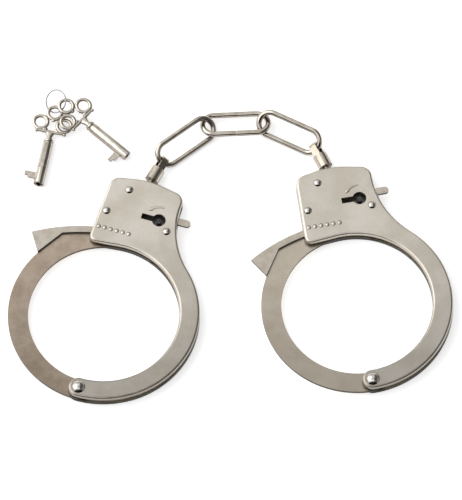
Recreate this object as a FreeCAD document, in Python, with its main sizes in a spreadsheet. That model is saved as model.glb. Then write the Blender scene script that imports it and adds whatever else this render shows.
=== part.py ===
"""A pair of chained ratchet handcuffs with their two barrel keys, lying flat on a table.

Millimetres, +Z up. The row frame's origin is on the table under the middle of the whole set.
Each cuff is drawn in its own cuff frame: origin on the jaw pivot at table height, +Y through the
middle of the ring towards the chain, +X to the side where the release tab stands out.
"""
import FreeCAD, Part
import math
import os

from FreeCAD import Placement, Rotation, Vector

doc = FreeCAD.newDocument("handcuffs")

# ---------------------------------------------------------------- driving sizes
SIZES = {
    # cuff ring
    "ring_centre_y": 33.8,
    "ring_outer_radius": 37.6,
    "ring_inner_radius": 29.6,
    "arm_end_radius": 4.0,
    # lock case outline
    "case_side_x": 15.8,
    "case_neck_radius": 35.0,
    "case_top_right_y": 91.2,
    "case_top_left_x": -14.2,
    "case_top_left_y": 91.2,
    "case_bottom_left_x": -15.2,
    "case_peak_y": 94.1,
    "case_peak_radius": 30.0,
    "case_corner_radius": 4.5,
    "case_foot_radius": 2.6,
    "case_bottom_slope": 6.0,
    # pressed sheet
    "case_height": 6.0,
    "sheet": 0.7,
    "lip_height": 1.6,
    "rim_radius": 1.0,
    "cheek_parting": 0.05,
    "sweep_radius": 71.4,
    "side_gap_top_y": 87.4,
    # jaw and ratchet
    "jaw_bottom_z": 1.75,
    "jaw_thickness": 1.3,
    "jaw_shoulder_radius": 69.2,
    "jaw_shoulder_start": 27.0,
    "jaw_shoulder_foot": 31.2,
    "jaw_end_angle": 10.0,
    "sector_bottom_z": 3.05,
    "sector_thickness": 1.2,
    "sector_outer_radius": 70.5,
    "sector_inner_radius": 67.9,
    "sector_knee_angle": 22.4,
    "sector_start_angle": 32.0,
    "tooth_depth": 1.1,
    "tooth_pitch_angle": 1.6,
    "tooth_count": 11,
    "first_valley_angle": -8.49,
    # rivets
    "jaw_rivet_radius": 1.5,
    "jaw_rivet_head_radius": 2.7,
    "jaw_rivet_head_height": 1.5,
    "jaw_bore_radius": 1.55,
    "jaw_washer_radius": 3.1,
    "rivet_radius": 1.0,
    "rivet_head_radius": 1.6,
    "rivet_head_height": 0.9,
    "bush_radius": 1.6,
    "upper_rivet_x": -5.9,
    "upper_rivet_y": 87.4,
    "left_rivet_x": -11.8,
    "left_rivet_y": 76.2,
    "pawl_rivet_x": 13.4,
    "pawl_rivet_y": 74.2,
    # lock
    "post_x": 9.1,
    "post_y": 78.0,
    "post_radius": 1.1,
    "post_top_z": 5.3,
    "keyhole_radius": 2.7,
    "keyhole_slot_width": 2.4,
    "keyhole_slot_reach": 7.1,
    "mark_depth": 0.2,
    "lever_thickness": 1.2,
    "lever_bore_radius": 1.65,
    "lever_eye_radius": 2.8,
    "tab_end_x": 21.2,
    "tab_y": 80.6,
    "tab_half_width": 1.4,
    "spring_wire_radius": 0.35,
    # swivel, measured outwards from the centre of the ball inside the case
    "ball_y": 90.8,
    "ball_z": 3.0,
    "ball_radius": 2.0,
    "stem_radius": 1.15,
    "pin_head_radius": 1.9,
    "pin_head_start": 5.25,
    "pin_head_end": 6.2,
    "pin_slot_width": 6.0,
    "pin_slot_height": 2.7,
    "barrel_start": 4.4,
    "barrel_end": 10.0,
    "barrel_radius": 2.8,
    "barrel_bore_radius": 2.1,
    "barrel_lip_radius": 1.35,
    "seam_width": 0.35,
    "eye_centre": 13.6,
    "eye_hole_radius": 1.6,
    "eye_radius": 2.35,
    "eye_width": 2.8,
    # chain links
    "link_wire_radius": 1.1,
    "link_bend_radius": 4.6,
    "link_straight": 16.7,
    "link_butt_gap": 0.3,
    # the links' middles, from the left cuff's jaw pivot, and how each lies
    "left_link_x": 41.707,
    "left_link_y": 107.582,
    "left_link_z": 3.773,
    "left_link_heading": 37.476,
    "left_link_tilt": 32.9,
    "middle_link_x": 61.313,
    "middle_link_y": 115.527,
    "middle_link_z": 3.32,
    "middle_link_heading": 2.813,
    "middle_link_tilt": -10.3,
    "right_link_x": 82.446,
    "right_link_y": 111.471,
    "right_link_z": 4.055,
    "right_link_heading": -26.457,
    "right_link_tilt": 36.1,
    # keys
    "key_lobe_radius": 3.4,
    "key_lobe_hole_radius": 2.1,
    "key_lobe_side_x": 4.7,
    "key_lobe_side_y": 26.9,
    "key_lobe_top_y": 31.8,
    "key_bow_thickness": 1.1,
    "key_bar_y": 23.3,
    "key_bar_half_length": 5.6,
    "key_bead_radius": 0.7,
    "key_barrel_radius": 2.05,
    "key_bore_radius": 1.15,
    "key_bore_depth": 9.0,
    "key_barrel_length": 20.2,
    "key_collar_radius": 2.05,
    "key_collar_from_end": 1.3,
    "key_collar_width": 0.7,
    "key_neck_half_width": 1.2,
    "key_neck_flare": 1.9,
    "key_bar_half_width": 0.6,
    "key_bit_reach": 6.3,
    "key_bit_start": 2.2,
    "key_bit_width": 2.6,
    "key_bit_thickness": 1.0,
    "key_two_rise": 4.4,
    "key_bead_drop": 0.2,
    "key_neck_overlap": 0.4,
    "key_neck_half_depth": 1.0,
    "key_collar_step": 0.3,
    "key_groove_radius": 1.6,
    # stamped marks: the turn arrow round the post and the row of dots
    "turn_mark_radius": 5.7,
    "turn_mark_width": 0.7,
    "turn_mark_barb": 0.6,
    "turn_mark_tail": 84.0,
    "turn_mark_head": 134.0,
    "turn_mark_tip": 150.0,
    "dot_first_x": -12.7,
    "dot_pitch": 2.45,
    "dot_y": 68.9,
    "dot_radius": 0.9,
    "dot_count": 6,
    # the rest of the pawl lever and its spring
    "lever_leg_out_x": 15.2,
    "lever_leg_in_x": 13.5,
    "lever_leg_foot_drop": 2.4,
    "lever_bar_top_y": 86.1,
    "lever_bar_low_y": 84.3,
    "lever_nose_out_x": -2.4,
    "lever_nose_in_x": 1.0,
    "lever_tip_x": -0.6,
    "lever_tip_y": 70.78,
    "lever_tip_back_y": 72.6,
    "lever_tip_flat_x": -0.35,
    "lever_tip_flat_y": 72.3,
    "lever_heel_y": 72.5,
    "spring_contact_x": 3.0,
    "spring_slack": 0.05,
    # how the swivels are rolled about their pins
    "left_swivel_roll": 122.3,
    "right_swivel_roll": 54.1,
    # the keys, by the tips of their barrels
    "key_one_x": -16.0,
    "key_one_y": 89.8,
    "key_one_turn": -11.5,
    "key_two_x": 18.7,
    "key_two_y": 102.4,
    "key_two_turn": 49.4,
    "key_lift": 0.02,
    "ring_wire_radius": 0.27,
    "ring_radius": 4.5,
    "ring_x": -9.466,
    "ring_y": 125.493,
    "ring_z": 3.338,
    "ring_heading": -60.4,
    "ring_tilt": 35.4,
    # where everything lies, from the left cuff's jaw pivot
    "left_cuff_turn": -16.8,
    "right_cuff_turn": 10.2,
    "right_cuff_x": 114.8,
    "right_cuff_y": 3.4,
    "left_swivel_lean": -11.0,
    "right_swivel_lean": 15.3,
    "middle_x": 59.342,
    "middle_y": 62.416,
}

sheet = doc.addObject("Spreadsheet::Sheet", "Sizes")
for row, (word, number) in enumerate(SIZES.items(), start=1):
    sheet.set(f"A{row}", word)
    sheet.set(f"B{row}", str(number))
    sheet.setAlias(f"B{row}", word)
doc.recompute()


def size(word):
    """The sheet's value for one word."""
    return float(getattr(sheet, word))


# ---------------------------------------------------------------- drawing helpers
def polar(radius, angle):
    """A point at a distance from the jaw pivot, its angle in degrees from +Y towards +X."""
    return Vector(radius * math.sin(math.radians(angle)), radius * math.cos(math.radians(angle)), 0)


def ring_reach(radius, angle):
    """How far from the pivot, in a direction, a circle about the ring's centre lies."""
    centre = size("ring_centre_y")
    across = centre * math.sin(math.radians(angle))
    return centre * math.cos(math.radians(angle)) + math.sqrt(radius**2 - across**2)


def on_ring(radius, angle):
    """A point on a circle about the ring's centre, its angle in degrees from +X towards +Y."""
    turn = math.radians(angle)
    return Vector(radius * math.cos(turn), size("ring_centre_y") + radius * math.sin(turn), 0)


def ring_angle(point):
    """The angle about the ring's centre of a point, in degrees from +X towards +Y."""
    return math.degrees(math.atan2(point.y - size("ring_centre_y"), point.x))


def line(start, end):
    return Part.LineSegment(start, end)


def arc(start, middle, end):
    return Part.Arc(start, middle, end)


def ring_arc(radius, start_angle, end_angle):
    """An arc about the ring's centre, between two angles from +X towards +Y."""
    middle_angle = (start_angle + end_angle) / 2
    return arc(on_ring(radius, start_angle), on_ring(radius, middle_angle), on_ring(radius, end_angle))


def rounded_run(start, corners, end):
    """Straight runs from start to end through corners given as (point, radius)."""
    edges = []
    at = start
    for number, (corner, radius) in enumerate(corners):
        after = corners[number + 1][0] if number + 1 < len(corners) else end
        back = (at - corner).normalize()
        ahead = (after - corner).normalize()
        half = back.getAngle(ahead) / 2
        reach = radius / math.tan(half)
        inwards = (back + ahead).normalize()
        begin = corner + back * reach
        finish = corner + ahead * reach
        middle = corner + inwards * (radius / math.sin(half) - radius)
        edges += [line(at, begin), arc(begin, middle, finish)]
        at = finish
    edges.append(line(at, end))
    return edges


def closed_run(points):
    """Straight edges round a closed list of points."""
    return [line(a, b) for a, b in zip(points, points[1:] + points[:1])]


def circle(x, y, radius):
    return Part.Circle(Vector(x, y, 0), Vector(0, 0, 1), radius)


def sketch(name, edges, height=None):
    """A sketch parallel to the table, at a height that is an expression of the sheet."""
    made = doc.addObject("Sketcher::SketchObject", name)
    made.addGeometry(edges, False)
    if height:
        made.setExpression("Placement.Base.z", height)
    return made


def extrude(name, profile, length, downwards=False):
    """A profile drawn out along Z by a length that is an expression of the sheet."""
    made = doc.addObject("Part::Extrusion", name)
    made.Base = profile
    made.DirMode = "Custom"
    made.Dir = Vector(0, 0, -1 if downwards else 1)
    made.Solid = True
    made.FaceMakerClass = "Part::FaceMakerBullseye"
    made.setExpression("LengthFwd", length)
    return made


def revolve(name, profile):
    """A profile drawn in X (radius) and Y (height), turned about Y and stood up along Z."""
    made = doc.addObject("Part::Revolution", name)
    made.Source = profile
    made.Axis = Vector(0, 1, 0)
    made.Base = Vector(0, 0, 0)
    made.Angle = 360
    made.Solid = True
    made.Placement = Placement(Vector(0, 0, 0), Rotation(Vector(1, 0, 0), 90))
    return made


def fuse(name, shapes):
    made = doc.addObject("Part::MultiFuse", name)
    made.Shapes = shapes
    return made


def cut(name, base, tool):
    made = doc.addObject("Part::Cut", name)
    made.Base = base
    made.Tool = tool
    return made


def group(name, shapes):
    """Separate solids kept together as one node."""
    made = doc.addObject("Part::Compound", name)
    made.Links = shapes
    return made


def cylinder(name, radius, height, placement=None):
    """A cylinder whose radius and height are expressions of the sheet."""
    made = doc.addObject("Part::Cylinder", name)
    made.setExpression("Radius", radius)
    made.setExpression("Height", height)
    if placement:
        made.Placement = placement
    return made


def box(name, low, high):
    made = doc.addObject("Part::Box", name)
    made.Length = high.x - low.x
    made.Width = high.y - low.y
    made.Height = high.z - low.z
    made.Placement = Placement(low, Rotation())
    return made


nodes = []


def keep(made, label, placement):
    """Names a finished sub-part and puts it where it belongs in the row frame."""
    made.Label = label
    made.Placement = placement.multiply(made.Placement)
    nodes.append(made)
    return made


# ---------------------------------------------------------------- cheeks of the lock case
def cheek_outline():
    """One side of the case: the fixed arm of the ring and the lock body, as a closed run."""
    centre_y = size("ring_centre_y")
    outer = size("ring_outer_radius")
    inner = size("ring_inner_radius")
    neck = size("case_neck_radius")
    side = size("case_side_x")
    neck_x = side + neck
    neck_y = centre_y + math.sqrt((outer + neck) ** 2 - neck_x**2)
    merge_angle = math.degrees(math.atan2(neck_y - centre_y, neck_x))
    merge = on_ring(outer, merge_angle)
    neck_top = Vector(side, neck_y, 0)
    neck_centre = Vector(neck_x, neck_y, 0)
    halfway = ((merge - neck_centre) + (neck_top - neck_centre)).normalize()
    slope = size("case_bottom_slope")
    foot_start = on_ring(inner, 90 + slope)
    drop = (foot_start.x - size("case_bottom_left_x")) * math.tan(math.radians(slope))
    foot = Vector(size("case_bottom_left_x"), foot_start.y - drop, 0)
    corners = [
        (Vector(side, size("case_top_right_y"), 0), size("case_corner_radius")),
        (Vector(0, size("case_peak_y"), 0), size("case_peak_radius")),
        (Vector(size("case_top_left_x"), size("case_top_left_y"), 0), size("case_corner_radius")),
        (foot, size("case_foot_radius")),
    ]
    end_middle = (inner + outer) / 2
    return (
        [ring_arc(outer, -90, merge_angle)]
        + [arc(merge, neck_centre + halfway * neck, neck_top)]
        + rounded_run(neck_top, corners, foot_start)
        + [ring_arc(inner, 90 + slope, -90)]
        + [arc(on_ring(inner, -90), Vector(-size("arm_end_radius"), centre_y - end_middle, 0), on_ring(outer, -90))]
    )


def keyhole():
    """A round hole for the key's barrel with a slot for its bit towards -X."""
    x, y, radius = size("post_x"), size("post_y"), size("keyhole_radius")
    half = size("keyhole_slot_width") / 2
    reach = math.sqrt(radius**2 - half**2)
    top, bottom = Vector(x - reach, y + half, 0), Vector(x - reach, y - half, 0)
    far = x - size("keyhole_slot_reach")
    return [
        arc(bottom, Vector(x + radius, y, 0), top),
        line(top, Vector(far, y + half, 0)),
        line(Vector(far, y + half, 0), Vector(far, y - half, 0)),
        line(Vector(far, y - half, 0), bottom),
    ]


def turn_mark():
    """A plain curved arrow above the keyhole, showing which way the key turns."""
    centre = Vector(size("post_x"), size("post_y"), 0)
    middle, half = size("turn_mark_radius"), size("turn_mark_width") / 2
    inner, outer, barb = middle - half, middle + half, size("turn_mark_barb")
    tail, head, tip = size("turn_mark_tail"), size("turn_mark_head"), size("turn_mark_tip")
    halfway = (tail + head) / 2

    def at(radius, angle):
        turn = math.radians(angle)
        return centre + Vector(radius * math.cos(turn), radius * math.sin(turn), 0)

    return [
        arc(at(outer, tail), at(outer, halfway), at(outer, head)),
        line(at(outer, head), at(outer + barb, head)),
        line(at(outer + barb, head), at(middle, tip)),
        line(at(middle, tip), at(inner - barb, head)),
        line(at(inner - barb, head), at(inner, head)),
        arc(at(inner, head), at(inner, halfway), at(inner, tail)),
        line(at(inner, tail), at(outer, tail)),
    ]


def plain_dots():
    """A row of plain dots near the foot of the case."""
    first, pitch = size("dot_first_x"), size("dot_pitch")
    return [circle(first + pitch * n, size("dot_y"), size("dot_radius")) for n in range(int(size("dot_count")))]


def cheek(side, name, front):
    """One pressed cheek: a sheet with its edge turned in, deep where the case is closed."""
    outer_face = "Sizes.case_height" if front else "0 * Sizes.sheet"
    blank = extrude(
        f"{side}_{name}_blank",
        sketch(f"{side}_{name}_outline", cheek_outline(), outer_face),
        "Sizes.case_height / 2 - Sizes.cheek_parting",
        front,
    )
    doc.recompute()
    level = size("case_height") if front else 0.0
    rim = doc.addObject("Part::Fillet", f"{side}_{name}_rim")
    rim.Base = blank
    rim.Edges = [
        (number, size("rim_radius"), size("rim_radius"))
        for number, edge in enumerate(blank.Shape.Edges, start=1)
        if all(abs(v.Point.z - level) < 1e-6 for v in edge.Vertexes)
    ]
    inset = doc.addObject("Part::Offset2D", f"{side}_{name}_inset")
    inset.Source = sketch(
        f"{side}_{name}_inside",
        cheek_outline(),
        "Sizes.case_height - Sizes.sheet" if front else "Sizes.sheet",
    )
    inset.setExpression("Value", "-Sizes.sheet")
    inset.Join = "Arc"
    hollow = extrude(f"{side}_{name}_hollow", inset, "Sizes.case_height", front)
    low = size("lip_height") if not front else 0.0
    high = size("case_height") - (size("lip_height") if front else 0.0)
    sweep = cylinder(
        f"{side}_{name}_sweep", "Sizes.sweep_radius", "Sizes.case_height - Sizes.lip_height",
        Placement(Vector(0, 0, low), Rotation()),
    )
    gap = box(
        f"{side}_{name}_side_gap",
        Vector(size("case_side_x") - 4, size("ring_centre_y"), low),
        Vector(size("case_side_x") + 20, size("side_gap_top_y"), high),
    )
    half_width, half_height = size("pin_slot_width") / 2, size("pin_slot_height") / 2
    pin_slot = box(
        f"{side}_{name}_pin_slot",
        Vector(-half_width, size("ball_y"), size("ball_z") - half_height),
        Vector(half_width, size("case_peak_y") + 1, size("ball_z") + half_height),
    )
    holes = [
        circle(0, 0, size("jaw_rivet_radius")),
        circle(size("upper_rivet_x"), size("upper_rivet_y"), size("rivet_radius")),
        circle(size("left_rivet_x"), size("left_rivet_y"), size("rivet_radius")),
        circle(size("pawl_rivet_x"), size("pawl_rivet_y"), size("rivet_radius")),
    ]
    if front:
        holes += keyhole()
    else:
        holes.append(circle(size("post_x"), size("post_y"), size("post_radius")))
    drill = extrude(f"{side}_{name}_drill", sketch(f"{side}_{name}_holes", holes), "Sizes.case_height")
    tools = [hollow, sweep, gap, pin_slot, drill]
    if front:
        marks = sketch(f"{side}_{name}_marks", turn_mark() + plain_dots(), "Sizes.case_height")
        tools.append(extrude(f"{side}_{name}_stamp", marks, "Sizes.mark_depth", True))
    return cut(f"{side}_{name}", rim, fuse(f"{side}_{name}_cuts", tools))


# ---------------------------------------------------------------- jaw
def jaw_plate(side):
    """The swinging arm: the other half of the ring, with a shoulder that carries the ratchet."""
    outer, inner = size("ring_outer_radius") - 0.1, size("ring_inner_radius")
    shoulder = size("jaw_shoulder_radius")
    start, end = -size("jaw_shoulder_start"), size("jaw_end_angle")
    centre_y = size("ring_centre_y")
    foot_angle = -size("jaw_shoulder_foot")
    foot = polar(ring_reach(outer, foot_angle), foot_angle)
    finish = polar(shoulder, end)
    inside = polar(ring_reach(inner, end), end)
    end_middle = (inner + outer) / 2
    profile = [
        ring_arc(outer, -90, ring_angle(foot) - 360),
        line(foot, polar(shoulder, start)),
        arc(polar(shoulder, start), polar(shoulder, (start + end) / 2), finish),
        line(finish, inside),
        ring_arc(inner, ring_angle(inside), 270),
        arc(on_ring(inner, -90), Vector(size("arm_end_radius"), centre_y - end_middle, 0), on_ring(outer, -90)),
        circle(0, 0, size("jaw_bore_radius")),
    ]
    return extrude(f"{side}_jaw", sketch(f"{side}_jaw_profile", profile, "Sizes.jaw_bottom_z"), "Sizes.jaw_thickness")


def ratchet_sector(side):
    """The toothed plate on the jaw: a narrow band that widens to a square end."""
    outer, inner = size("sector_outer_radius"), size("sector_inner_radius")
    root = outer - size("tooth_depth")
    start, end = -size("sector_start_angle"), size("jaw_end_angle")
    knee = -size("sector_knee_angle")
    pitch = size("tooth_pitch_angle")
    first = size("first_valley_angle")
    smooth_end = first - 0.85 * pitch
    points = [polar(outer, smooth_end)]
    for number in range(int(size("tooth_count"))):
        valley = first + number * pitch
        points += [polar(root, valley), polar(outer, valley + 0.15 * pitch)]
    points.append(polar(outer, end))
    low_start = polar(ring_reach(size("ring_outer_radius") - 0.1, start), start)
    profile = [
        arc(polar(outer, start), polar(outer, (start + smooth_end) / 2), points[0]),
        *[line(a, b) for a, b in zip(points, points[1:])],
        line(points[-1], polar(inner, end)),
        arc(polar(inner, end), polar(inner, (end + knee) / 2), polar(inner, knee)),
        line(polar(inner, knee), low_start),
        line(low_start, polar(outer, start)),
    ]
    return extrude(
        f"{side}_sector", sketch(f"{side}_sector_profile", profile, "Sizes.sector_bottom_z"),
        "Sizes.sector_thickness",
    )


# ---------------------------------------------------------------- rivets, bushes and post
def rivet(name, x, y, shank, head, head_height, foot=0.0):
    """A domed rivet whose tail is flush with the back of the case."""
    top = size("case_height")
    dome = (head**2 + head_height**2) / (2 * head_height)
    lift = math.sqrt(dome**2 - (head / 2) ** 2) - (dome - head_height)
    profile = [
        line(Vector(0, foot, 0), Vector(shank, foot, 0)),
        line(Vector(shank, foot, 0), Vector(shank, top, 0)),
        line(Vector(shank, top, 0), Vector(head, top, 0)),
        arc(Vector(head, top, 0), Vector(head / 2, top + lift, 0), Vector(0, top + head_height, 0)),
        line(Vector(0, top + head_height, 0), Vector(0, foot, 0)),
    ]
    made = revolve(name, sketch(f"{name}_profile", profile))
    made.Placement = Placement(Vector(x, y, 0), Rotation()).multiply(made.Placement)
    return made


def bush(name, x, y, bore, radius, low, height):
    """A plain tube standing round a rivet, from one height up."""
    profile = sketch(f"{name}_profile", [circle(x, y, bore), circle(x, y, radius)], low)
    return extrude(name, profile, height)


def small_rivet(name, x, y):
    return rivet(name, x, y, size("rivet_radius"), size("rivet_head_radius"), size("rivet_head_height"))


def case_bush(name, x, y):
    return bush(
        name, x, y, size("rivet_radius"), size("bush_radius"),
        "Sizes.sheet", "Sizes.case_height - 2 * Sizes.sheet",
    )


# ---------------------------------------------------------------- pawl lever and its spring
def pawl_lever(side):
    """A frame round the key's bit: eye on its rivet, nose on the ratchet, tab out of the side."""
    x, y, eye = size("pawl_rivet_x"), size("pawl_rivet_y"), size("lever_eye_radius")
    tab_y, half = size("tab_y"), size("tab_half_width")
    tab_straight = size("tab_end_x") - half
    leg_out, leg_in = size("lever_leg_out_x"), size("lever_leg_in_x")
    bar_top, bar_low = size("lever_bar_top_y"), size("lever_bar_low_y")
    nose_out, nose_in = size("lever_nose_out_x"), size("lever_nose_in_x")
    tip = Vector(size("lever_tip_x"), size("lever_tip_y"), 0)
    tip_back = Vector(nose_out, size("lever_tip_back_y"), 0)
    tip_flat = Vector(size("lever_tip_flat_x"), size("lever_tip_flat_y"), 0)
    tip_heel = Vector(nose_in, size("lever_heel_y"), 0)
    leg_foot = Vector(leg_in, tab_y - size("lever_leg_foot_drop"), 0)
    eye_right = Vector(leg_out, y + math.sqrt(eye**2 - (leg_out - x) ** 2), 0)
    eye_left = Vector(x - eye, y, 0)
    edges = [
        line(tip, tip_back),
        line(tip_back, Vector(nose_out, bar_top, 0)),
        line(Vector(nose_out, bar_top, 0), Vector(leg_out, bar_top, 0)),
        line(Vector(leg_out, bar_top, 0), Vector(leg_out, tab_y + half, 0)),
        line(Vector(leg_out, tab_y + half, 0), Vector(tab_straight, tab_y + half, 0)),
        arc(
            Vector(tab_straight, tab_y + half, 0),
            Vector(size("tab_end_x"), tab_y, 0),
            Vector(tab_straight, tab_y - half, 0),
        ),
        line(Vector(tab_straight, tab_y - half, 0), Vector(leg_out, tab_y - half, 0)),
        line(Vector(leg_out, tab_y - half, 0), eye_right),
        arc(eye_right, Vector(x, y - eye, 0), eye_left),
        line(eye_left, leg_foot),
        line(leg_foot, Vector(leg_in, bar_low, 0)),
        line(Vector(leg_in, bar_low, 0), Vector(nose_in, bar_low, 0)),
        line(Vector(nose_in, bar_low, 0), tip_heel),
        line(tip_heel, tip_flat),
        line(tip_flat, tip),
        circle(x, y, size("lever_bore_radius")),
    ]
    return extrude(
        f"{side}_lever", sketch(f"{side}_lever_profile", edges, "Sizes.sector_bottom_z"),
        "Sizes.lever_thickness",
    )


def pawl_spring(side):
    """A hairpin of wire round the upper bush: one leg on the lever, one on the left bush."""
    wire = size("spring_wire_radius")
    z = size("sector_bottom_z") + size("lever_thickness") / 2
    centre = Vector(size("upper_rivet_x"), size("upper_rivet_y"), z)
    bend = size("bush_radius") + wire + 2 * size("spring_slack")
    slack = size("spring_slack")
    contact = Vector(size("spring_contact_x"), size("lever_bar_top_y") + wire + slack, z)
    rest = Vector(size("left_rivet_x") + size("bush_radius") + wire + slack, size("left_rivet_y"), z)

    def tangent(point, side_sign):
        away = point - centre
        swing = math.acos(bend / away.Length) * side_sign
        heading = math.atan2(away.y, away.x) + swing
        return heading, centre + Vector(bend * math.cos(heading), bend * math.sin(heading), 0)

    start_heading, start = tangent(contact, 1)
    end_heading, end = tangent(rest, -1)
    middle_heading = (start_heading + end_heading % (2 * math.pi)) / 2
    middle = centre + Vector(bend * math.cos(middle_heading), bend * math.sin(middle_heading), 0)
    edges = [
        Part.LineSegment(contact, start).toShape(),
        Part.Arc(start, middle, end).toShape(),
        Part.LineSegment(end, rest).toShape(),
    ]
    path = Part.Wire(edges)
    section = Part.Wire(Part.Circle(contact, start - contact, wire).toShape())
    made = doc.addObject("Part::Feature", f"{side}_spring")
    made.Shape = path.makePipeShell([section], True, False)
    return made


# ---------------------------------------------------------------- swivel
def swivel_pin(side):
    """A ball that rocks inside the case, a stem, and a head caught in the barrel."""
    ball = doc.addObject("Part::Sphere", f"{side}_ball")
    ball.setExpression("Radius", "Sizes.ball_radius")
    stem = cylinder(f"{side}_stem", "Sizes.stem_radius", "Sizes.pin_head_end")
    head = cylinder(
        f"{side}_pin_head", "Sizes.pin_head_radius", "Sizes.pin_head_end - Sizes.pin_head_start",
        Placement(Vector(0, 0, size("pin_head_start")), Rotation()),
    )
    return fuse(f"{side}_pin", [ball, stem, head])


def swivel_barrel(side):
    """A rolled barrel with an open seam, closed over by the strap that holds the link."""
    start, end = size("barrel_start"), size("barrel_end")
    radius, bore, lip = size("barrel_radius"), size("barrel_bore_radius"), size("barrel_lip_radius")
    wall = size("sheet")
    profile = closed_run([
        Vector(lip, start, 0),
        Vector(radius, start, 0),
        Vector(radius, end, 0),
        Vector(0, end, 0),
        Vector(0, end - wall, 0),
        Vector(bore, end - wall, 0),
        Vector(bore, start + wall, 0),
        Vector(lip, start + wall, 0),
    ])
    tube = revolve(f"{side}_tube", sketch(f"{side}_tube_profile", profile))
    seam = box(
        f"{side}_seam",
        Vector(-size("seam_width") / 2, -radius - 1, start - 1),
        Vector(size("seam_width") / 2, 0, end - wall),
    )
    rolled = cut(f"{side}_rolled", tube, seam)
    eye, hole, centre = size("eye_radius"), size("eye_hole_radius"), size("eye_centre")
    low = end - wall
    strap_edges = [
        line(Vector(-eye, low, 0), Vector(eye, low, 0)),
        line(Vector(eye, low, 0), Vector(eye, centre, 0)),
        arc(Vector(eye, centre, 0), Vector(0, centre + eye, 0), Vector(-eye, centre, 0)),
        line(Vector(-eye, centre, 0), Vector(-eye, low, 0)),
        line(Vector(-hole, end, 0), Vector(hole, end, 0)),
        line(Vector(hole, end, 0), Vector(hole, centre, 0)),
        arc(Vector(hole, centre, 0), Vector(0, centre + hole, 0), Vector(-hole, centre, 0)),
        line(Vector(-hole, centre, 0), Vector(-hole, end, 0)),
    ]
    strap = extrude(f"{side}_strap", sketch(f"{side}_strap_profile", strap_edges), "Sizes.eye_width")
    # stood up: profile Y to the barrel's axis, and the hole's axis across it
    strap.Placement = Placement(Vector(0, size("eye_width") / 2, 0), Rotation(Vector(1, 0, 0), 90))
    return fuse(f"{side}_barrel", [rolled, strap])


# ---------------------------------------------------------------- chain links
def chain_link(name):
    """An oval of round wire, its ends butted in the middle of one long side."""
    half = size("link_straight") / 2
    bend, wire = size("link_bend_radius"), size("link_wire_radius")
    gap = size("link_butt_gap") / 2
    stops = [
        Vector(gap, -bend, 0), Vector(half, -bend, 0), Vector(half + bend, 0, 0), Vector(half, bend, 0),
        Vector(-half, bend, 0), Vector(-half - bend, 0, 0), Vector(-half, -bend, 0), Vector(-gap, -bend, 0),
    ]
    edges = [
        Part.LineSegment(stops[0], stops[1]).toShape(),
        Part.Arc(stops[1], stops[2], stops[3]).toShape(),
        Part.LineSegment(stops[3], stops[4]).toShape(),
        Part.Arc(stops[4], stops[5], stops[6]).toShape(),
        Part.LineSegment(stops[6], stops[7]).toShape(),
    ]
    section = Part.Wire(Part.Circle(stops[0], Vector(1, 0, 0), wire).toShape())
    made = doc.addObject("Part::Feature", name)
    made.Shape = Part.Wire(edges).makePipeShell([section], True, False)
    return made


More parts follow.
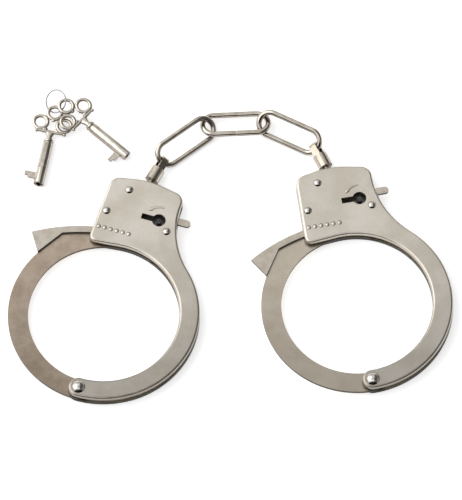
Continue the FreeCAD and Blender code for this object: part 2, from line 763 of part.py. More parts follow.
# ---------------------------------------------------------------- keys
def key(name):
    """A barrel key: three-ring bow, cross bar with beads, neck, collar, barrel and bit.

    Drawn with the tip of the barrel at the origin and the bow towards +Y.
    """
    lobes = [
        (0, size("key_lobe_top_y")),
        (size("key_lobe_side_x"), size("key_lobe_side_y")),
        (-size("key_lobe_side_x"), size("key_lobe_side_y")),
    ]
    half = size("key_bow_thickness") / 2
    parts = []
    for number, (x, y) in enumerate(lobes):
        lobe = cylinder(
            f"{name}_lobe{number}", "Sizes.key_lobe_radius", "Sizes.key_bow_thickness",
            Placement(Vector(x, y, -half), Rotation()),
        )
        parts.append(lobe)
    bar_y, bar_half = size("key_bar_y"), size("key_bar_half_length")
    bar_width = size("key_bar_half_width")
    parts.append(box(
        f"{name}_bar", Vector(-bar_half, bar_y - bar_width, -half), Vector(bar_half, bar_y + bar_width, half),
    ))
    for number, x in enumerate((-bar_half, bar_half)):
        bead = doc.addObject("Part::Sphere", f"{name}_bead{number}")
        bead.Radius = size("key_bead_radius")
        bead.Placement = Placement(Vector(x, bar_y - size("key_bead_drop"), 0), Rotation())
        parts.append(bead)
    barrel_end = size("key_barrel_length")
    narrow, flare = size("key_neck_half_width"), size("key_neck_flare")
    neck_low, neck_top = barrel_end - size("key_neck_overlap"), bar_y - size("key_neck_overlap")
    neck = closed_run([
        Vector(-narrow, neck_low, 0), Vector(narrow, neck_low, 0),
        Vector(flare, neck_top, 0), Vector(-flare, neck_top, 0),
    ])
    neck_body = extrude(f"{name}_neck", sketch(f"{name}_neck_profile", neck), "2 * Sizes.key_neck_half_depth")
    neck_body.Placement = Placement(Vector(0, 0, -size("key_neck_half_depth")), Rotation())
    parts.append(neck_body)
    radius, collar = size("key_barrel_radius"), size("key_collar_radius")
    step, groove = size("key_collar_step"), size("key_groove_radius")
    collar_low = barrel_end - size("key_collar_from_end")
    collar_top = collar_low + size("key_collar_width")
    groove_low, groove_top = collar_low - 2 * step, collar_low - step
    turned = closed_run([
        Vector(0, 0.0, 0), Vector(radius, 0.0, 0), Vector(radius, groove_low - step, 0),
        Vector(groove, groove_low, 0), Vector(groove, groove_top, 0),
        Vector(collar, collar_low, 0), Vector(collar, collar_top, 0),
        Vector(groove, collar_top + step, 0), Vector(groove, barrel_end, 0), Vector(0, barrel_end, 0),
    ])
    turned_body = doc.addObject("Part::Revolution", f"{name}_turned")
    turned_body.Source = sketch(f"{name}_turned_profile", turned)
    turned_body.Axis = Vector(0, 1, 0)
    turned_body.Angle = 360
    turned_body.Solid = True
    parts.append(turned_body)
    bit_start, bit_width = size("key_bit_start"), size("key_bit_width")
    bit_half = size("key_bit_thickness") / 2
    parts.append(box(
        f"{name}_bit",
        Vector(-size("key_bit_reach"), bit_start, -bit_half), Vector(-radius + 0.3, bit_start + bit_width, bit_half),
    ))
    along_y = Rotation(Vector(1, 0, 0), -90)
    tools = [cylinder(
        f"{name}_bore", "Sizes.key_bore_radius", "Sizes.key_bore_depth + 1",
        Placement(Vector(0, -1, 0), along_y),
    )]
    for number, (x, y) in enumerate(lobes):
        tools.append(cylinder(
            f"{name}_lobe_hole{number}", "Sizes.key_lobe_hole_radius", "Sizes.key_bow_thickness + 2",
            Placement(Vector(x, y, -half - 1), Rotation()),
        ))
    return cut(name, fuse(f"{name}_solid", parts), fuse(f"{name}_holes", tools))


# ---------------------------------------------------------------- where things lie
MIDDLE = Vector(size("middle_x"), size("middle_y"), 0)
UP = Vector(0, 0, 1)


def placed(point, turn=0.0):
    """A place on the table, given from the left cuff's jaw pivot, turned about Z in degrees."""
    return Placement(point - MIDDLE, Rotation(UP, turn))


def swivel_place(cuff, lean, roll):
    """The ball's place, with local +Z along the pin, leaning towards the chain and rolled."""
    ball = Vector(0, size("ball_y"), size("ball_z"))
    upright = Rotation(Vector(1, 0, 0), -90)
    return cuff.multiply(Placement(ball, Rotation(UP, lean).multiply(upright).multiply(Rotation(UP, roll))))


def link_place(which):
    """Where a link lies: its middle, its heading, and its back long side raised by its tilt."""
    middle = Vector(size(f"{which}_link_x"), size(f"{which}_link_y"), size(f"{which}_link_z"))
    tilt = Rotation(Vector(1, 0, 0), size(f"{which}_link_tilt"))
    return placed(middle, size(f"{which}_link_heading")).multiply(Placement(Vector(0, 0, 0), tilt))


def cuff(side, place, lean, roll):
    """One cuff with everything in it, each piece a node whose name starts with its side."""
    upper = (size("upper_rivet_x"), size("upper_rivet_y"))
    left = (size("left_rivet_x"), size("left_rivet_y"))
    pawl = (size("pawl_rivet_x"), size("pawl_rivet_y"))
    keep(cheek(side, "back", False), f"{side}_back_cheek", place)
    keep(cheek(side, "front", True), f"{side}_front_cheek", place)
    keep(jaw_plate(side), f"{side}_jaw_plate", place)
    keep(ratchet_sector(side), f"{side}_ratchet_sector", place)
    jaw_rivet = rivet(
        f"{side}_pivot", 0, 0, size("jaw_rivet_radius"),
        size("jaw_rivet_head_radius"), size("jaw_rivet_head_height"),
    )
    keep(jaw_rivet, f"{side}_jaw_rivet", place)
    washers = [
        bush(
            f"{side}_low_washer", 0, 0, size("jaw_rivet_radius"), size("jaw_washer_radius"),
            "Sizes.sheet", "Sizes.jaw_bottom_z - Sizes.sheet - 0.03",
        ),
        bush(
            f"{side}_high_washer", 0, 0, size("jaw_rivet_radius"), size("jaw_washer_radius"),
            "Sizes.jaw_bottom_z + Sizes.jaw_thickness + 0.03",
            "Sizes.case_height - Sizes.sheet - Sizes.jaw_bottom_z - Sizes.jaw_thickness - 0.03",
        ),
    ]
    keep(group(f"{side}_washers", washers), f"{side}_jaw_washers", place)
    rivets = [small_rivet(f"{side}_upper_rivet", *upper), small_rivet(f"{side}_left_rivet", *left)]
    keep(group(f"{side}_rivets", rivets), f"{side}_case_rivets", place)
    bushes = [case_bush(f"{side}_upper_bush", *upper), case_bush(f"{side}_left_bush", *left)]
    keep(group(f"{side}_bushes", bushes), f"{side}_case_bushes", place)
    keep(small_rivet(f"{side}_pawl_pin", *pawl), f"{side}_pawl_rivet", place)
    keep(case_bush(f"{side}_pawl_tube", *pawl), f"{side}_pawl_bush", place)
    keep(pawl_lever(side), f"{side}_pawl_lever", place)
    keep(pawl_spring(side), f"{side}_pawl_spring", place)
    post_place = Placement(Vector(size("post_x"), size("post_y"), 0), Rotation())
    post = cylinder(f"{side}_post", "Sizes.post_radius", "Sizes.post_top_z", post_place)
    keep(post, f"{side}_key_post", place)
    keep(swivel_pin(side), f"{side}_swivel_pin", swivel_place(place, lean, 0))
    keep(swivel_barrel(side), f"{side}_swivel_barrel", swivel_place(place, lean, roll))


left_place = placed(Vector(0, 0, 0), size("left_cuff_turn"))
right_place = placed(Vector(size("right_cuff_x"), size("right_cuff_y"), 0), size("right_cuff_turn"))
cuff("left", left_place, size("left_swivel_lean"), size("left_swivel_roll"))
cuff("right", right_place, size("right_swivel_lean"), size("right_swivel_roll"))

for which in ("left", "middle", "right"):
    keep(chain_link(f"{which}_link"), f"link_{which}", link_place(which))

# the keys, by the tips of their barrels
KEY_ONE_TIP = Vector(size("key_one_x"), size("key_one_y"), size("key_barrel_radius"))
KEY_TWO_TIP = Vector(size("key_two_x"), size("key_two_y"), size("key_barrel_radius") + size("key_lift"))
keep(key("first_key"), "key_one", placed(KEY_ONE_TIP, size("key_one_turn")))
rise = Placement(Vector(0, 0, 0), Rotation(Vector(1, 0, 0), size("key_two_rise")))
keep(key("second_key"), "key_two", placed(KEY_TWO_TIP, size("key_two_turn")).multiply(rise))

wire_ring = doc.addObject("Part::Torus", "wire_ring")
wire_ring.setExpression("Radius1", "Sizes.ring_radius")
wire_ring.setExpression("Radius2", "Sizes.ring_wire_radius")
ring_middle = Vector(size("ring_x"), size("ring_y"), size("ring_z"))
ring_tilt = Rotation(Vector(1, 0, 0), size("ring_tilt"))
ring_place = placed(ring_middle, size("ring_heading")).multiply(Placement(Vector(0, 0, 0), ring_tilt))
keep(wire_ring, "key_ring", ring_place)

# ---------------------------------------------------------------- check and write
doc.recompute()
for made in doc.Objects:
    if "Invalid" in made.State or "Error" in made.State:
        raise RuntimeError(f"{made.Name} failed: {made.State}")
for made in nodes:
    shape = made.Shape
    if shape.isNull() or not shape.isValid() or not shape.Solids:
        raise RuntimeError(f"{made.Label} has no valid solid")

os.makedirs("parts", exist_ok=True)
for made in nodes:
    made.Shape.exportStep(f"parts/{made.Label}.step")
print(f"{len(nodes)} nodes written")
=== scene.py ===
import math

import bmesh
import bpy
from mathutils import Matrix, Vector


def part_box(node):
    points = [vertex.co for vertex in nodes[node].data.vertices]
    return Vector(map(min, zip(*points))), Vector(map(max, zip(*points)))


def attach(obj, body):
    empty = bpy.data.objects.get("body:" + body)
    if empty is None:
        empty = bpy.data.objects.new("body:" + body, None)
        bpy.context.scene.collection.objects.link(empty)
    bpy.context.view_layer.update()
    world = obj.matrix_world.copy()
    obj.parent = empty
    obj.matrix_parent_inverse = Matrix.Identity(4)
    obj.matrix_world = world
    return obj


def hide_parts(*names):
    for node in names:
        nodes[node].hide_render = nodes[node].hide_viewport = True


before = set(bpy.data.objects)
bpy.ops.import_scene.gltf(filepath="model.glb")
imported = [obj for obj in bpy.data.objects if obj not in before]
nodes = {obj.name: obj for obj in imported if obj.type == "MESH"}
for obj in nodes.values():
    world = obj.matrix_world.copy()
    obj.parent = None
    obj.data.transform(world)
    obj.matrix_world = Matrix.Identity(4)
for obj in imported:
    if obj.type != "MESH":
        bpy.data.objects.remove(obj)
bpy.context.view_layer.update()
scene = bpy.context.scene
MM = 0.001
SIDES = ("left", "right")
# how each link lies: its heading and its tilt, in degrees
LINKS = {"left": (37.476, 32.9), "middle": (2.813, -10.3), "right": (-26.457, 36.1)}
# how each key lies: its turn on the table and the rise of its bow, in degrees
KEYS = {"one": (-11.5, 0.0), "two": (49.4, 4.4)}


# ---------------------------------------------------------------- materials
# sizes in metres, turns in radians; speckle is how much the specks add to the clouds
SPECK_SIZE = 0.0006
SPECKLE = 0.22
SCRATCH_SIZE = 0.0022
SCRATCH_STRETCH = (1, 22, 1)
SCRATCH_TURNS = (0.4, 1.3, 2.3)
SCRATCH_DEPTH = 0.00001


def wire(tree, source, output, target, entry):
    """Links an output of one shader node to an input of another."""
    tree.links.new(source.outputs[output], target.inputs[entry])


def add_noise(tree, coords, feature, detail=4.0, rough=0.55, stretch=(1, 1, 1), turn=0.0):
    """Noise with features of about the given size in metres, drawn out along one direction if asked."""
    mapping = tree.nodes.new("ShaderNodeMapping")
    mapping.inputs["Scale"].default_value = stretch
    mapping.inputs["Rotation"].default_value = (0, 0, turn)
    wire(tree, coords, "Object", mapping, "Vector")
    noise = tree.nodes.new("ShaderNodeTexNoise")
    noise.inputs["Scale"].default_value = 1.0 / feature
    noise.inputs["Detail"].default_value = detail
    noise.inputs["Roughness"].default_value = rough
    wire(tree, mapping, "Vector", noise, "Vector")
    return noise


def add_ramp(tree, source, output, low, high, dark, light):
    """Maps a value between low and high onto two colours."""
    ramp = tree.nodes.new("ShaderNodeValToRGB")
    ramp.color_ramp.elements[0].position = low
    ramp.color_ramp.elements[1].position = high
    ramp.color_ramp.elements[0].color = (*dark, 1)
    ramp.color_ramp.elements[1].color = (*light, 1)
    wire(tree, source, output, ramp, "Fac")
    return ramp


def add_range(tree, source, output, low, high, to_low, to_high):
    """Maps a value between low and high onto another range."""
    node = tree.nodes.new("ShaderNodeMapRange")
    node.inputs["From Min"].default_value = low
    node.inputs["From Max"].default_value = high
    node.inputs["To Min"].default_value = to_low
    node.inputs["To Max"].default_value = to_high
    wire(tree, source, output, node, "Value")
    return node


def paint_wall_shade(tree, coords, colour, wall, limits, undersides):
    """Painted shade on cut edges and upright walls: mixes to the shade colour of the walls where a face
    stands up.

    Undersides are either as bright as the tops or given the same painted shade as the walls.
    """
    split = tree.nodes.new("ShaderNodeSeparateXYZ")
    wire(tree, coords, "Normal", split, "Vector")
    flat = tree.nodes.new("ShaderNodeMath")
    flat.operation = "ABSOLUTE" if undersides == "bright" else "MAXIMUM"
    wire(tree, split, "Z", flat, 0)
    flat.inputs[1].default_value = 0.0
    share = add_range(tree, flat, "Value", *limits, 0.0, 1.0)
    mix = tree.nodes.new("ShaderNodeMix")
    mix.data_type = "RGBA"
    # for colours the node's factor is input 0, its two colours are inputs 6 and 7, its result output 2
    tree.links.new(share.outputs["Result"], mix.inputs[0])
    mix.inputs[6].default_value = (*wall, 1)
    tree.links.new(colour.outputs["Color"], mix.inputs[7])
    return mix.outputs[2]


def paint_light_falloff(tree, coords, colour, light_falloff):
    """Painted light falloff: scales brightness along Y, given as two Y in metres and then the brightness at
    each.
    """
    split = tree.nodes.new("ShaderNodeSeparateXYZ")
    wire(tree, coords, "Object", split, "Vector")
    share = add_range(tree, split, "Y", *light_falloff)
    scaled = tree.nodes.new("ShaderNodeVectorMath")
    scaled.operation = "SCALE"
    tree.links.new(colour, scaled.inputs[0])
    wire(tree, share, "Result", scaled, "Scale")
    return scaled.outputs["Vector"]


def plated(
    name, light, dark, rough, patch, grain, bump, scratches=0.0, contrast=(0.35, 0.65),
    wall=None, limits=(0.3, 0.6), light_falloff=None, undersides="bright",
):
    """Nickel plate: cloudy colour, fine grain in its roughness and relief, and thin hair scratches.

    Patch and grain are the sizes of the clouds and of the grain, and bump is the depth of the grain.
    Wall, limits and undersides set the painted shade of walls and undersides, and the pairs along Y set a
    painted light falloff.
    """
    material = bpy.data.materials.new(name)
    material.use_nodes = True
    tree = material.node_tree
    tree.nodes.clear()
    out = tree.nodes.new("ShaderNodeOutputMaterial")
    shader = tree.nodes.new("ShaderNodeBsdfPrincipled")
    shader.inputs["Metallic"].default_value = 1.0
    wire(tree, shader, "BSDF", out, "Surface")
    coords = tree.nodes.new("ShaderNodeTexCoord")
    clouds = add_noise(tree, coords, patch, 6.0, 0.62)
    specks = add_noise(tree, coords, SPECK_SIZE, 3.0, 0.7)
    mottle = tree.nodes.new("ShaderNodeMath")
    mottle.operation = "MULTIPLY_ADD"
    wire(tree, specks, "Fac", mottle, 0)
    mottle.inputs[1].default_value = SPECKLE
    wire(tree, clouds, "Fac", mottle, 2)
    half = SPECKLE / 2
    colour = add_ramp(tree, mottle, "Value", contrast[0] + half, contrast[1] + half, dark, light)
    finish = colour.outputs["Color"]
    if wall:
        finish = paint_wall_shade(tree, coords, colour, wall, limits, undersides)
    if light_falloff:
        finish = paint_light_falloff(tree, coords, finish, light_falloff)
    tree.links.new(finish, shader.inputs["Base Color"])
    fine = add_noise(tree, coords, grain, 3.0, 0.6)
    gloss = add_range(tree, fine, "Fac", 0.3, 0.7, rough[0], rough[1])
    relief = tree.nodes.new("ShaderNodeBump")
    relief.inputs["Strength"].default_value = 1.0
    relief.inputs["Distance"].default_value = bump
    wire(tree, fine, "Fac", relief, "Height")
    last = relief
    if scratches:
        for turn in SCRATCH_TURNS:
            lines = add_noise(tree, coords, SCRATCH_SIZE, 2.0, 0.5, SCRATCH_STRETCH, turn)
            thin = add_range(tree, lines, "Fac", 0.66, 0.72, 0.0, 1.0)
            groove = tree.nodes.new("ShaderNodeBump")
            groove.invert = True
            groove.inputs["Strength"].default_value = scratches
            groove.inputs["Distance"].default_value = SCRATCH_DEPTH
            wire(tree, thin, "Result", groove, "Height")
            wire(tree, last, "Normal", groove, "Normal")
            last = groove
    wire(tree, gloss, "Result", shader, "Roughness")
    wire(tree, last, "Normal", shader, "Normal")
    return material


# Painted shade and light in these materials: each wall colour is painted shade on upright faces, cut edges
# and dome rims, undersides that are not bright get the same painted shade, and each pair of Y and
# brightness values is a painted light falloff, brighter towards +Y.
SHEET = plated(
    "nickel_sheet", (0.70, 0.65, 0.58), (0.595, 0.545, 0.465), (0.26, 0.36), 16 * MM, 0.3 * MM, 3e-6, 0.4,
    contrast=(0.40, 0.62), light_falloff=(-0.052, 0.008, 0.74, 1.15), wall=(0.40, 0.36, 0.31), limits=(0.2, 0.6),
)
BACK = plated(
    "nickel_sheet_back", (0.70, 0.66, 0.60), (0.64, 0.60, 0.54), (0.30, 0.42), 9 * MM, 0.35 * MM, 4e-6,
    wall=(0.018, 0.016, 0.014), limits=(0.85, 0.98),
)
LEFT_JAW = plated(
    "nickel_jaw_left", (0.45, 0.37, 0.295), (0.33, 0.265, 0.20), (0.28, 0.40), 6 * MM, 0.4 * MM, 5e-6, 0.4,
    wall=(0.03, 0.025, 0.02), limits=(0.3, 0.8), light_falloff=(-0.05, 0.006, 0.92, 1.25),
)
RIGHT_JAW = plated(
    "nickel_jaw_right", (0.50, 0.45, 0.375), (0.42, 0.365, 0.295), (0.28, 0.40),
    10 * MM, 0.4 * MM, 5e-6, 0.4,
    wall=(0.03, 0.025, 0.02), limits=(0.3, 0.8), light_falloff=(-0.05, 0.006, 1.0, 1.38),
)
SECTOR = plated(
    "nickel_sector", (0.70, 0.64, 0.555), (0.55, 0.49, 0.41), (0.26, 0.38), 4 * MM, 0.4 * MM, 4e-6, 0.4,
    wall=(0.05, 0.04, 0.035), limits=(0.3, 0.8),
)
RIVET = plated(
    "nickel_rivet", (0.84, 0.80, 0.74), (0.76, 0.71, 0.65), (0.10, 0.16), 2 * MM, 0.3 * MM, 1e-6,
    wall=(0.30, 0.26, 0.22), limits=(0.55, 0.80),
)
WIRE = plated(
    "nickel_wire", (0.78, 0.72, 0.64), (0.56, 0.49, 0.41), (0.06, 0.13), 3 * MM, 0.5 * MM, 3e-6, 0.3,
    wall=(0.17, 0.14, 0.115), limits=(0.05, 0.75), undersides="shaded",
)
BARREL = plated(
    "nickel_barrel", (0.68, 0.61, 0.52), (0.54, 0.47, 0.385), (0.20, 0.30), 2.5 * MM, 0.4 * MM, 3e-6, 0.3,
    wall=(0.24, 0.20, 0.16), limits=(0.0, 0.45), undersides="shaded",
)
CAST = plated(
    "nickel_casting", (0.80, 0.75, 0.67), (0.58, 0.51, 0.43), (0.08, 0.17), 2.2 * MM, 0.6 * MM, 6e-6, 0.3,
    wall=(0.16, 0.125, 0.10), limits=(0.05, 0.80), undersides="shaded",
)
FINE_WIRE = plated(
    "bright_fine_wire", (0.50, 0.49, 0.50), (0.34, 0.33, 0.34), (0.12, 0.2), 2 * MM, 0.3 * MM, 2e-6,
)
# Painted shade: a near-black steel for the inner washers, bushes, spring and key post, standing in for the
# shade inside the cases.
SHADED_INNER = plated(
    "shaded_inner_steel", (0.12, 0.12, 0.125), (0.06, 0.06, 0.065), (0.40, 0.60), 2 * MM, 0.3 * MM, 6e-6,
)

FINISH = {
    "front_cheek": SHEET,
    "back_cheek": BACK,
    "ratchet_sector": SECTOR,
    "jaw_rivet": RIVET,
    "jaw_washers": SHADED_INNER,
    "case_rivets": RIVET,
    "case_bushes": SHADED_INNER,
    "pawl_rivet": RIVET,
    "pawl_bush": SHADED_INNER,
    "pawl_lever": SECTOR,
    "pawl_spring": SHADED_INNER,
    "key_post": SHADED_INNER,
    "swivel_pin": BARREL,
    "swivel_barrel": BARREL,
}


def paint(obj, material):
    """Gives an object one material in place of any it had."""
    obj.data.materials.clear()
    obj.data.materials.append(material)


for side in SIDES:
    for part, material in FINISH.items():
        paint(nodes[f"{side}_{part}"], material)
paint(nodes["left_jaw_plate"], LEFT_JAW)
paint(nodes["right_jaw_plate"], RIGHT_JAW)
for which in LINKS:
    paint(nodes[f"link_{which}"], WIRE)
paint(nodes["key_ring"], FINE_WIRE)


# ---------------------------------------------------------------- meshes
def middle_of(node):
    """The middle of a node's box."""
    low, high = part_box(node)
    return (low + high) / 2


def finish_mesh(made, name, place, material, smooth=38):
    """Turns a bmesh drawn in millimetres into an object standing at a place in the row frame."""
    bmesh.ops.remove_doubles(made, verts=made.verts, dist=0.0005)
    bmesh.ops.recalc_face_normals(made, faces=made.faces)
    made.transform(place @ Matrix.Scale(MM, 4))
    for face in made.faces:
        face.smooth = True
    mesh = bpy.data.meshes.new(name)
    made.to_mesh(mesh)
    made.free()
    mesh.set_sharp_from_angle(angle=math.radians(smooth))
    obj = bpy.data.objects.new(name, mesh)
    scene.collection.objects.link(obj)
    obj.data.materials.append(material)
    return obj


def add_grid(made, rows, close_rows=True, close_columns=True):
    """Skins a grid of points, given row by row."""
    verts = [[made.verts.new(point) for point in row] for row in rows]
    row_count, column_count = len(verts), len(verts[0])
    for i in range(row_count if close_rows else row_count - 1):
        for j in range(column_count if close_columns else column_count - 1):
            a, b = verts[i][j], verts[i][(j + 1) % column_count]
            c, d = verts[(i + 1) % row_count][(j + 1) % column_count], verts[(i + 1) % row_count][j]
            made.faces.new((a, b, c, d))


def directions(count):
    """The cosines and sines of evenly spaced directions round a circle."""
    turns = [2 * math.pi * i / count for i in range(count)]
    return [(math.cos(turn), math.sin(turn)) for turn in turns]


def add_torus(made, x, y, z, radius, width, height, around=56, section=18):
    """A flat-lying ring whose section is an ellipse."""
    rows = []
    for cos, sin in directions(around):
        row = []
        for out, up in directions(section):
            reach = radius + width * out
            row.append((x + reach * cos, y + reach * sin, z + height * up))
        rows.append(row)
    add_grid(made, rows)


def add_turned(made, profile, axis="Y", around=40):
    """Turns pairs of radius and height about an axis; the ends may lie on it."""
    rows = []
    for cos, sin in directions(around):
        if axis == "Y":
            rows.append([(r * cos, h, r * sin) for r, h in profile])
        else:
            rows.append([(r * cos, r * sin, h) for r, h in profile])
    add_grid(made, rows, close_columns=False)


def add_ball(made, x, y, z, radius, squash=(1, 1, 1)):
    """A ball, squashed about the origin before it is put in its place."""
    sphere = bmesh.ops.create_uvsphere(made, u_segments=20, v_segments=12, radius=radius)
    bmesh.ops.scale(made, verts=sphere["verts"], vec=squash)
    bmesh.ops.translate(made, verts=sphere["verts"], vec=(x, y, z))


def add_prism(made, outline, low, high, edge):
    """An outline in the XY plane drawn out from low to high, its rim eased by a small chamfer."""
    centre_x = sum(x for x, y in outline) / len(outline)
    centre_y = sum(y for x, y in outline) / len(outline)

    def eased(z, inset):
        """The outline's points at a height, drawn in towards its middle by an inset."""
        row = []
        for x, y in outline:
            away = math.hypot(x - centre_x, y - centre_y)
            share = max(0.0, 1 - inset / away)
            spot = (centre_x + (x - centre_x) * share, centre_y + (y - centre_y) * share, z)
            row.append(made.verts.new(spot))
        return row

    layers = [eased(low, edge), eased(low + edge, 0), eased(high - edge, 0), eased(high, edge)]
    count = len(outline)
    for below, above in zip(layers, layers[1:]):
        for j in range(count):
            made.faces.new((below[j], below[(j + 1) % count], above[(j + 1) % count], above[j]))
    made.faces.new(layers[0][::-1])
    made.faces.new(layers[-1])


# ---------------------------------------------------------------- keys
# in millimetres, from the tip of the barrel at the origin, with the bow towards +Y
LOBES = ((0, 31.8), (4.7, 26.9), (-4.7, 26.9))
LOBE_RADIUS = 2.72
LOBE_HALF_WIDTH = 0.74
LOBE_HALF_HEIGHT = 0.60
BAR_Y = 23.3
BAR_HALF_LENGTH = 5.6
BAR_HALF_WIDTH = 0.75
BAR_TAPER = 0.25
BAR_HALF_HEIGHT = 0.55
BAR_STEPS = 24
BAR_SIDES = 14
BEAD_Y = 23.1
BEAD_RADIUS = 0.7
LOW_WEB_X = 2.6
LOW_WEB_Y = 24.2
LOW_WEB_RADIUS = 1.0
LOW_WEB_SQUASH = (1.3, 0.8, 0.5)
TOP_WEB_Y = 28.6
TOP_WEB_RADIUS = 0.8
TOP_WEB_SQUASH = (1.2, 1.0, 0.6)
NECK_SIDES = 20
# rings of the neck: place along the key, half width, half depth
NECK = ((19.9, 1.15, 1.0), (20.6, 1.05, 0.95), (21.6, 1.25, 0.8), (22.6, 1.7, 0.65), (23.4, 2.3, 0.45))
# pairs of radius and place along the key: the bore, the tip, the barrel, two grooves and the collar between
BARREL_PROFILE = (
    (0, 9.0), (1.15, 9.0), (1.15, 0.12), (1.3, 0), (1.92, 0), (2.05, 0.14), (2.05, 17.9), (1.95, 18.1),
    (1.6, 18.25), (1.6, 18.5), (1.85, 18.65), (2.03, 18.9), (2.05, 19.2), (2.0, 19.5), (1.8, 19.65),
    (1.6, 19.8), (1.6, 20.0), (1.2, 20.2), (0, 20.2),
)
# the bit's outline, with a step cut from its lower outer corner
BIT = ((-1.6, 2.2), (-1.6, 4.8), (-6.3, 4.8), (-6.3, 3.1), (-4.9, 3.0), (-4.9, 2.2))
BIT_HALF_THICKNESS = 0.5
BIT_CHAMFER = 0.12


def add_bow(made):
    """Three rings over a cross bar that thins towards a bead at each end, with webs between them."""
    for x, y in LOBES:
        add_torus(made, x, y, 0, LOBE_RADIUS, LOBE_HALF_WIDTH, LOBE_HALF_HEIGHT)
    bar = []
    for i in range(BAR_STEPS + 1):
        x = -BAR_HALF_LENGTH + 2 * BAR_HALF_LENGTH * i / BAR_STEPS
        width = BAR_HALF_WIDTH - BAR_TAPER * abs(x) / BAR_HALF_LENGTH
        bar.append([
            (x, BAR_Y + width * cos, BAR_HALF_HEIGHT * sin) for cos, sin in directions(BAR_SIDES)
        ])
    add_grid(made, bar, close_rows=False)
    for x in (-BAR_HALF_LENGTH, BAR_HALF_LENGTH):
        add_ball(made, x, BEAD_Y, 0, BEAD_RADIUS)
    for x in (-LOW_WEB_X, LOW_WEB_X):
        add_ball(made, x, LOW_WEB_Y, 0, LOW_WEB_RADIUS, LOW_WEB_SQUASH)
    add_ball(made, 0, TOP_WEB_Y, 0, TOP_WEB_RADIUS, TOP_WEB_SQUASH)


def add_neck(made):
    """The neck, which flares from the collar into the cross bar."""
    rows = []
    for y, half, deep in NECK:
        rows.append([(half * cos, y, deep * sin) for cos, sin in directions(NECK_SIDES)])
    add_grid(made, rows, close_rows=False)


def add_key(which, turn, rise):
    """A cast barrel key, standing where the frame's key is; turn and rise are in degrees."""
    made = bmesh.new()
    add_bow(made)
    add_neck(made)
    add_turned(made, BARREL_PROFILE)
    add_prism(made, BIT, -BIT_HALF_THICKNESS, BIT_HALF_THICKNESS, BIT_CHAMFER)
    name = f"key_{which}"
    place = Matrix.Rotation(math.radians(turn), 4, "Z") @ Matrix.Rotation(math.radians(rise), 4, "X")
    # the middle of its box goes to the middle of the frame's key
    spots = [place @ (vert.co * MM) for vert in made.verts]
    low = Vector([min(spot[i] for spot in spots) for i in range(3)])
    high = Vector([max(spot[i] for spot in spots) for i in range(3)])
    shift = Matrix.Translation(middle_of(name) - (low + high) / 2)
    obj = finish_mesh(made, f"{name}_cast", shift @ place, CAST)
    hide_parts(name)
    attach(obj, name)


# ---------------------------------------------------------------- stamped marks on the front cheeks
# in millimetres, from the cuff's jaw pivot, with the lock towards +Y
POST_X = 9.1
POST_Y = 78.0
# the case's front face is at a height of 6.0, and the middles of the marks lie a little under it
MARK_HEIGHT = 6.0 - 0.12
DOT_COUNT = 6
DOT_FIRST_X = -12.7
DOT_PITCH = 2.45
DOT_Y = 68.9
DOT_RADIUS = 0.82
DOT_SQUASH = (1, 1, 0.42)
# the arrow runs round the post, its ends in degrees from +X; the shaft widens, then the head narrows
ARROW_RADIUS = 5.7
ARROW_START = 84
ARROW_END = 150
ARROW_STEPS = 24
ARROW_SIDES = 12
ARROW_HALF_HEIGHT = 0.3
SHAFT_SHARE = 0.72
SHAFT_HALF_WIDTH = 0.34
SHAFT_WIDENING = 0.02
HEAD_HALF_WIDTH = 0.95
TIP_HALF_WIDTH = 0.03


def cuff_place(side):
    """The cuff's own frame: the jaw pivot at the origin, the lock towards +Y, heights from the table."""
    pivot, post = middle_of(f"{side}_jaw_rivet"), middle_of(f"{side}_key_post")
    turn = math.atan2(post.y - pivot.y, post.x - pivot.x) - math.atan2(POST_Y, POST_X)
    return Matrix.Translation((pivot.x, pivot.y, 0)) @ Matrix.Rotation(turn, 4, "Z")


def add_marks(side):
    """Raised beads and a raised curved arrow, pressed out of the sheet above the frame's stamped marks."""
    place = cuff_place(side)
    made = bmesh.new()
    for n in range(DOT_COUNT):
        add_ball(made, DOT_FIRST_X + DOT_PITCH * n, DOT_Y, MARK_HEIGHT, DOT_RADIUS, DOT_SQUASH)
    rows = []
    for i in range(ARROW_STEPS + 1):
        share = i / ARROW_STEPS
        turn = math.radians(ARROW_START + (ARROW_END - ARROW_START) * share)
        if share < SHAFT_SHARE:
            width = SHAFT_HALF_WIDTH + SHAFT_WIDENING * i
        else:
            width = HEAD_HALF_WIDTH * (1 - share) / (1 - SHAFT_SHARE) + TIP_HALF_WIDTH
        row = []
        for out, up in directions(ARROW_SIDES):
            reach = ARROW_RADIUS + width * out
            x = POST_X + reach * math.cos(turn)
            y = POST_Y + reach * math.sin(turn)
            row.append((x, y, MARK_HEIGHT + ARROW_HALF_HEIGHT * up))
        rows.append(row)
    add_grid(made, rows, close_rows=False)
    obj = finish_mesh(made, f"{side}_pressed_marks", place, SHEET)
    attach(obj, f"{side}_case")


# ---------------------------------------------------------------- butt joints of the links
# in millimetres; the stub is given by pairs of radius and height, with a waist in the middle
LINK_BEND_RADIUS = 4.6
SEAM_STUB = ((0, -0.32), (0.9, -0.32), (1.0, -0.2), (0.93, 0), (1.0, 0.2), (0.9, 0.32), (0, 0.32))


def add_seam(which, heading, tilt):
    """The butt joint of a link's wire: a slightly sunken stub that closes the gap in its front side."""
    made = bmesh.new()
    add_turned(made, SEAM_STUB, "Z")
    along = Matrix.Rotation(math.radians(90), 4, "Y")
    turned = Matrix.Rotation(math.radians(heading), 4, "Z") @ Matrix.Rotation(math.radians(tilt), 4, "X")
    name = f"link_{which}"
    front = Matrix.Translation((0, -LINK_BEND_RADIUS * MM, 0))
    place = Matrix.Translation(middle_of(name)) @ turned @ front @ along
    obj = finish_mesh(made, f"{name}_seam", place, WIRE)
    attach(obj, name)


for which, (turn, rise) in KEYS.items():
    add_key(which, turn, rise)
for side in SIDES:
    add_marks(side)
for which, (heading, tilt) in LINKS.items():
    add_seam(which, heading, tilt)


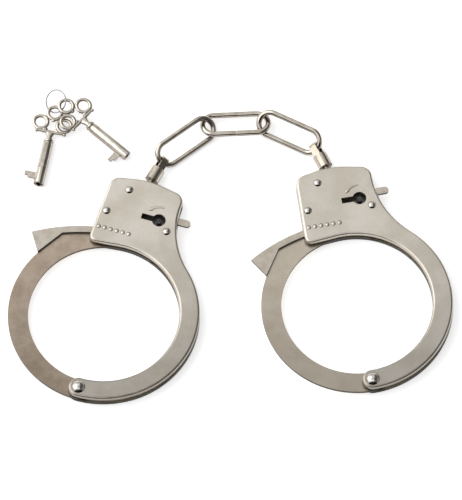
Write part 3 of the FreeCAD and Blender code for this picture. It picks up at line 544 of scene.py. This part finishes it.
# ---------------------------------------------------------------- floor, light and camera
# in metres, watts, degrees and pixels
FLOOR_REACH = 3.0
FLOOR_DROP = 0.00002
FLOOR_GREY = 0.93
FLOOR_GLOW = 0.62
SOFTBOX_PLACE = (-1.0, 0.25, 0.95)
SOFTBOX_SIZE = 1.7
SOFTBOX_WATTS = 9
# grey levels round the studio, as pairs of the direction's component and the level
LEVELS_ALONG_Y = (
    (-1.0, 0.02), (-0.68, 0.03), (-0.55, 1.0), (-0.28, 1.1), (-0.12, 0.55),
    (0.10, 0.55), (0.34, 0.86), (0.62, 0.86), (1.0, 0.45),
)
LEVELS_ALONG_X = (
    (-1.0, 0.75), (-0.7, 1.0), (-0.3, 1.0), (0.1, 0.92), (0.30, 0.7), (0.44, 0.13), (0.88, 0.13),
    (0.97, 0.6),
)
ELEVATION = math.radians(64.2)
DISTANCE = 5.0
PIXELS_PER_METRE = 2550.0
PICTURE_HEIGHT = 500
AIM = Vector((0.0002, -0.0004, 0.0))


def add_floor():
    """A white floor that glows a little, just below the part so that no faces coincide."""
    mesh = bpy.data.meshes.new("floor")
    reach = FLOOR_REACH
    corners = [(-reach, -reach, 0), (reach, -reach, 0), (reach, reach, 0), (-reach, reach, 0)]
    mesh.from_pydata(corners, [], [(0, 1, 2, 3)])
    floor = bpy.data.objects.new("floor", mesh)
    scene.collection.objects.link(floor)
    floor.location.z = -FLOOR_DROP
    material = bpy.data.materials.new("white_floor")
    material.use_nodes = True
    shader = material.node_tree.nodes["Principled BSDF"]
    shader.inputs["Base Color"].default_value = (FLOOR_GREY, FLOOR_GREY, FLOOR_GREY, 1)
    shader.inputs["Roughness"].default_value = 0.9
    shader.inputs["Specular IOR Level"].default_value = 0.0
    shader.inputs["Emission Color"].default_value = (1, 1, 1, 1)
    shader.inputs["Emission Strength"].default_value = FLOOR_GLOW
    floor.data.materials.append(material)


def add_softbox(name, place, size, watts):
    """A round soft light that looks at the origin."""
    light = bpy.data.lights.new(name, "AREA")
    light.shape = "ELLIPSE"
    light.size = size
    light.size_y = size
    light.energy = watts
    obj = bpy.data.objects.new(name, light)
    scene.collection.objects.link(obj)
    obj.location = place
    obj.rotation_euler = (-Vector(place)).to_track_quat("-Z", "Y").to_euler()


def add_stops(tree, source, output, stops):
    """Grey levels along a direction's component, given as pairs of component and level."""
    place = add_range(tree, source, output, -1.0, 1.0, 0.0, 1.0)
    ramp = tree.nodes.new("ShaderNodeValToRGB")
    elements = ramp.color_ramp.elements
    while len(elements) < len(stops):
        elements.new(0.5)
    for element, (component, level) in zip(elements, stops):
        element.position = (component + 1) / 2
        element.color = (level, level, level, 1)
    wire(tree, place, "Result", ramp, "Fac")
    return ramp


def add_world():
    """Even light behind and overhead, a bright bank in front, dark low in front and on the right."""
    world = bpy.data.worlds.new("studio")
    world.use_nodes = True
    scene.world = world
    tree = world.node_tree
    tree.nodes.clear()
    out = tree.nodes.new("ShaderNodeOutputWorld")
    background = tree.nodes.new("ShaderNodeBackground")
    wire(tree, background, "Background", out, "Surface")
    coords = tree.nodes.new("ShaderNodeTexCoord")
    split = tree.nodes.new("ShaderNodeSeparateXYZ")
    wire(tree, coords, "Generated", split, "Vector")
    depth = add_stops(tree, split, "Y", LEVELS_ALONG_Y)
    across = add_stops(tree, split, "X", LEVELS_ALONG_X)
    product = tree.nodes.new("ShaderNodeVectorMath")
    product.operation = "MULTIPLY"
    tree.links.new(depth.outputs["Color"], product.inputs[0])
    tree.links.new(across.outputs["Color"], product.inputs[1])
    wire(tree, product, "Vector", background, "Color")
    background.inputs["Strength"].default_value = 1.0


add_floor()
add_world()
add_softbox("key_softbox", SOFTBOX_PLACE, SOFTBOX_SIZE, SOFTBOX_WATTS)

camera_data = bpy.data.cameras.new("camera")
camera = bpy.data.objects.new("camera", camera_data)
scene.collection.objects.link(camera)
scene.camera = camera
camera_data.sensor_width = 36.0
camera_data.lens = PIXELS_PER_METRE * DISTANCE * camera_data.sensor_width / PICTURE_HEIGHT
camera_data.clip_start = 0.1
camera_data.clip_end = 20.0
back = Vector((0, -math.cos(ELEVATION), math.sin(ELEVATION)))
camera.location = AIM + back * DISTANCE
camera.rotation_mode = "QUATERNION"
camera.rotation_quaternion = (-back).to_track_quat("-Z", "Y")

scene.view_settings.view_transform = "Standard"
